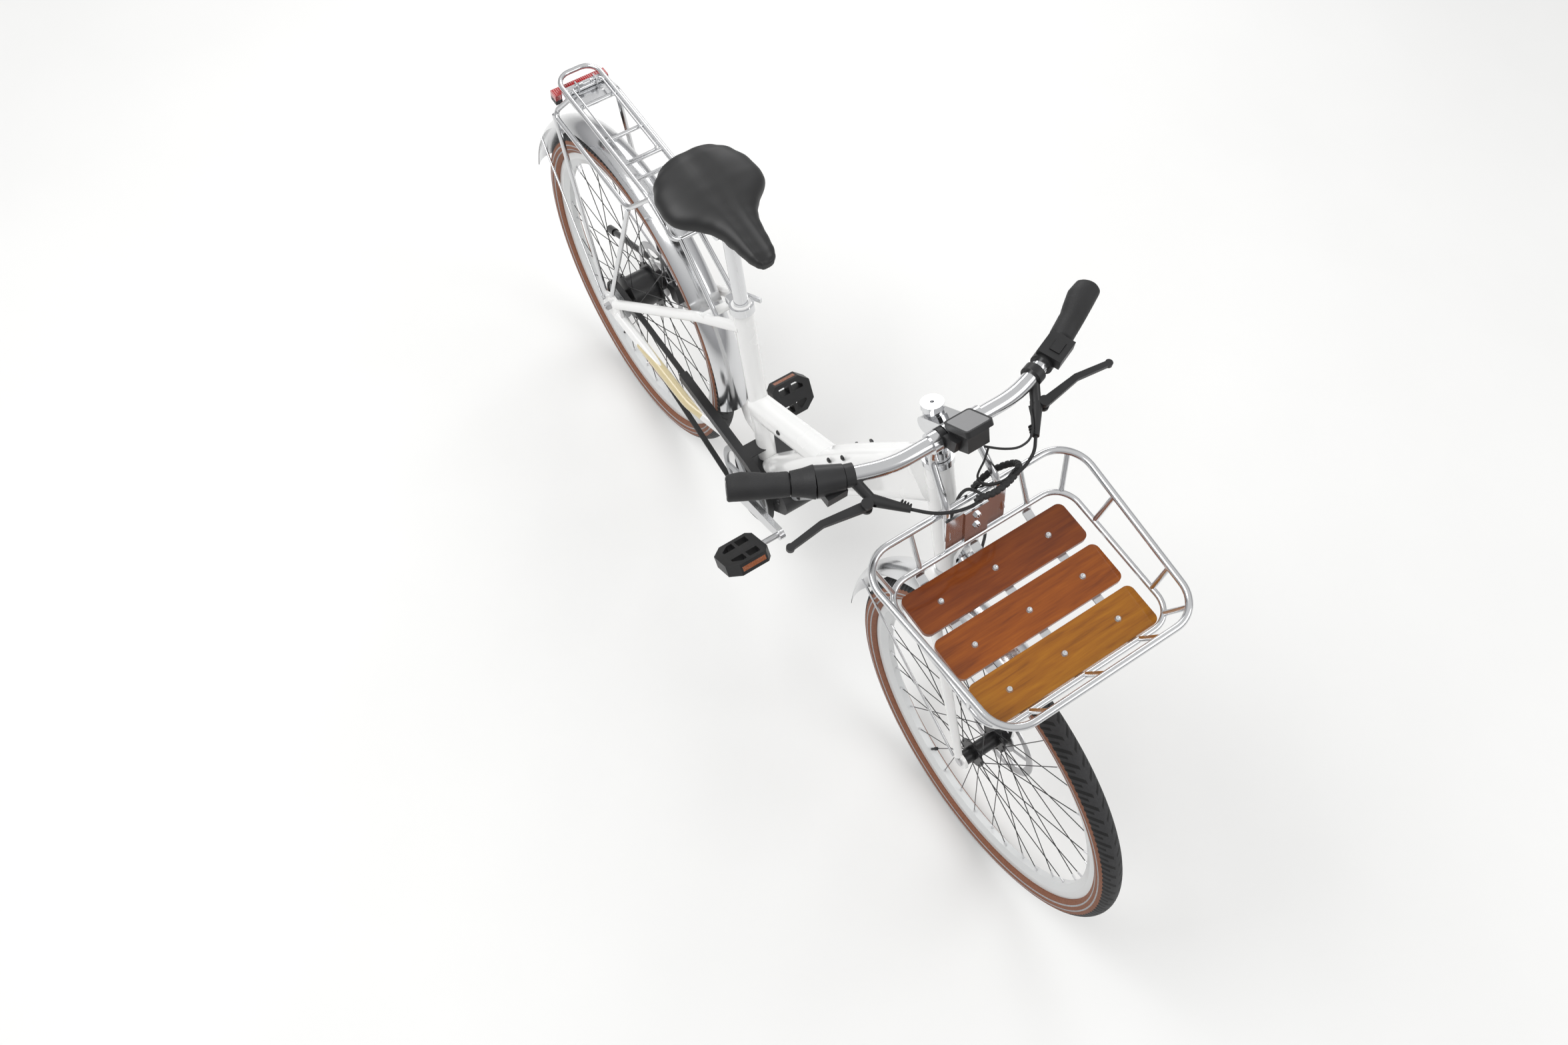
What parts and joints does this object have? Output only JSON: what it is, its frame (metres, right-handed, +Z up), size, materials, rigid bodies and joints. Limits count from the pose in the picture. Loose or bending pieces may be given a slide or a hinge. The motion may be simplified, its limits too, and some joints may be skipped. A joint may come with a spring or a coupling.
{
  "type": "electric city bicycle",
  "caption": "Low step-through electric city bicycle with mid motor, belt drive, disc brakes, fenders, a steered front porter rack with wooden slats and a rear carrier",
  "frame": {"origin": "on the ground, at the middle of the overall length and width", "axes": "X points forward along the longest extent, Y to the rider's left across the handlebar, Z up"},
  "size_m": [1.9681, 0.6788, 1.1579],
  "materials": {
    "frame_paint": "gloss",
    "polished_alloy": "polished",
    "chrome": "polished",
    "black_metal": "satin",
    "rim_paint": "satin",
    "steel": "brushed",
    "black_plastic": "matte",
    "grey_metal": "satin",
    "tyre": "matte",
    "rubber": "matte",
    "wood": "varnished",
    "saddle_cover": "satin",
    "red_lens": "gloss",
    "amber_lens": "gloss",
    "screen": "gloss"
  },
  "bodies": {
    "frame": {"main_frame": "frame_paint", "battery_pack": "black_plastic", "battery_cover": "grey_metal", "motor_unit": "black_plastic", "headset_cups": "polished_alloy", "chain_stays": "frame_paint", "seat_stays": "frame_paint", "rear_axle": "steel", "drive_belt": "rubber", "belt_guard": "black_plastic", "rear_fender": "polished_alloy", "rear_rack": "polished_alloy", "tail_light_housing": "black_plastic", "tail_light_lens": "red_lens", "rear_caliper": "black_metal", "seat_clamp": "chrome"},
    "seat": {"seat_post": "chrome", "saddle_rails": "black_metal", "saddle": "saddle_cover"},
    "seat_lever": {"clamp_lever": "chrome"},
    "rack_spring_clip": {"rack_clip": "chrome"},
    "stand": {"kickstand": "black_metal"},
    "rear_wheel": {"rear_tyre": "tyre", "rear_rim": "rim_paint", "rear_spokes": "black_metal", "rear_hub": "black_metal", "rear_rotor": "steel"},
    "sprocket": {"rear_sprocket": "grey_metal"},
    "crank": {"crank_axles": "steel", "crank_arms": "polished_alloy", "belt_ring": "grey_metal"},
    "pedal_right": {"right_pedal": "black_plastic", "right_reflectors": "amber_lens"},
    "pedal_left": {"left_pedal": "black_plastic", "left_reflectors": "amber_lens"},
    "steering": {"fork": "frame_paint", "stem": "chrome", "handlebar": "polished_alloy", "grips": "rubber", "lever_bodies": "black_plastic", "remote": "black_plastic", "display": "black_plastic", "display_screen": "screen", "front_rack": "polished_alloy", "deck_slats": "wood", "slat_screws": "chrome", "front_fender": "polished_alloy", "front_axle": "steel", "front_caliper": "black_metal", "headlamp": "chrome", "control_hoses": "rubber"},
    "gear_twist": {"twist_grip": "rubber"},
    "brake_lever_right": {"right_lever": "black_plastic"},
    "brake_lever_left": {"left_lever": "black_plastic"},
    "mode_button": {"remote_button": "black_plastic"},
    "front_wheel": {"front_tyre": "tyre", "front_rim": "rim_paint", "front_spokes": "black_metal", "front_hub": "black_metal", "front_rotor": "steel"}
  },
  "joints": [
    {"name": "steer", "type": "hinge", "parent": "frame", "child": "steering", "pos_m": [0.37964, 0, 0.87439], "axis": [-0.3502, 0, 0.9367], "range_deg": [-60, 60]},
    {"name": "front_wheel_spin", "type": "hinge", "parent": "steering", "child": "front_wheel", "pos_m": [0.62609, 0, 0.358], "axis": [0, 1, 0], "continuous": true},
    {"name": "rear_wheel_spin", "type": "hinge", "parent": "frame", "child": "rear_wheel", "pos_m": [-0.59691, 0, 0.358], "axis": [0, 1, 0], "continuous": true},
    {"name": "crank_spin", "type": "hinge", "parent": "frame", "child": "crank", "pos_m": [-0.09491, 0, 0.312], "axis": [0, 1, 0], "continuous": true},
    {"name": "sprocket_spin", "type": "hinge", "parent": "frame", "child": "sprocket", "pos_m": [-0.59691, -0.05, 0.358], "axis": [0, 1, 0], "continuous": true},
    {"name": "pedal_right_spin", "type": "hinge", "parent": "crank", "child": "pedal_right", "pos_m": [0.06411, -0.168, 0.37209], "axis": [0, 1, 0], "continuous": true},
    {"name": "pedal_left_spin", "type": "hinge", "parent": "crank", "child": "pedal_left", "pos_m": [-0.25394, 0.168, 0.25191], "axis": [0, 1, 0], "continuous": true},
    {"name": "seat_height", "type": "slide", "parent": "frame", "child": "seat", "axis": [-0.2696, 0, 0.963], "range_m": [-0.08, 0.08]},
    {"name": "seat_lever_turn", "type": "hinge", "parent": "frame", "child": "seat_lever", "pos_m": [-0.23513, 0.019, 0.73883], "axis": [-0.2696, 0, 0.963], "range_deg": [0, 140]},
    {"name": "rack_clip_lift", "type": "hinge", "parent": "frame", "child": "rack_spring_clip", "pos_m": [-0.74691, 0, 0.831], "axis": [0, -1, 0], "range_deg": [0, 80], "stiffness_Nm_per_rad": 0.6, "springref_deg": -20.05},
    {"name": "kickstand_swing", "type": "hinge", "parent": "frame", "child": "stand", "pos_m": [-0.66491, 0.08, 0.32], "axis": [0, -1, 0], "range_deg": [0, 68]},
    {"name": "gear_twist_turn", "type": "hinge", "parent": "steering", "child": "gear_twist", "pos_m": [0.30856, -0.23561, 1.09], "axis": [0.453, 0.8915, 0], "range_deg": [-75, 75]},
    {"name": "brake_right_pull", "type": "hinge", "parent": "steering", "child": "brake_lever_right", "pos_m": [0.38009, -0.172, 1.07], "axis": [0, 0, -1], "range_deg": [0, 20], "stiffness_Nm_per_rad": 1, "springref_deg": -14.32},
    {"name": "brake_left_pull", "type": "hinge", "parent": "steering", "child": "brake_lever_left", "pos_m": [0.38009, 0.15, 1.07], "axis": [0, 0, 1], "range_deg": [0, 20], "stiffness_Nm_per_rad": 1, "springref_deg": -14.32},
    {"name": "mode_button_press", "type": "slide", "parent": "steering", "child": "mode_button", "axis": [0, 0, -1], "range_m": [0, 0.0008], "stiffness_N_per_m": 800, "springref_m": -0.001}
  ],
  "couplings": [
    {"joint": "sprocket_spin", "follows": "crank_spin", "ratio": 2.0833}
  ]
}
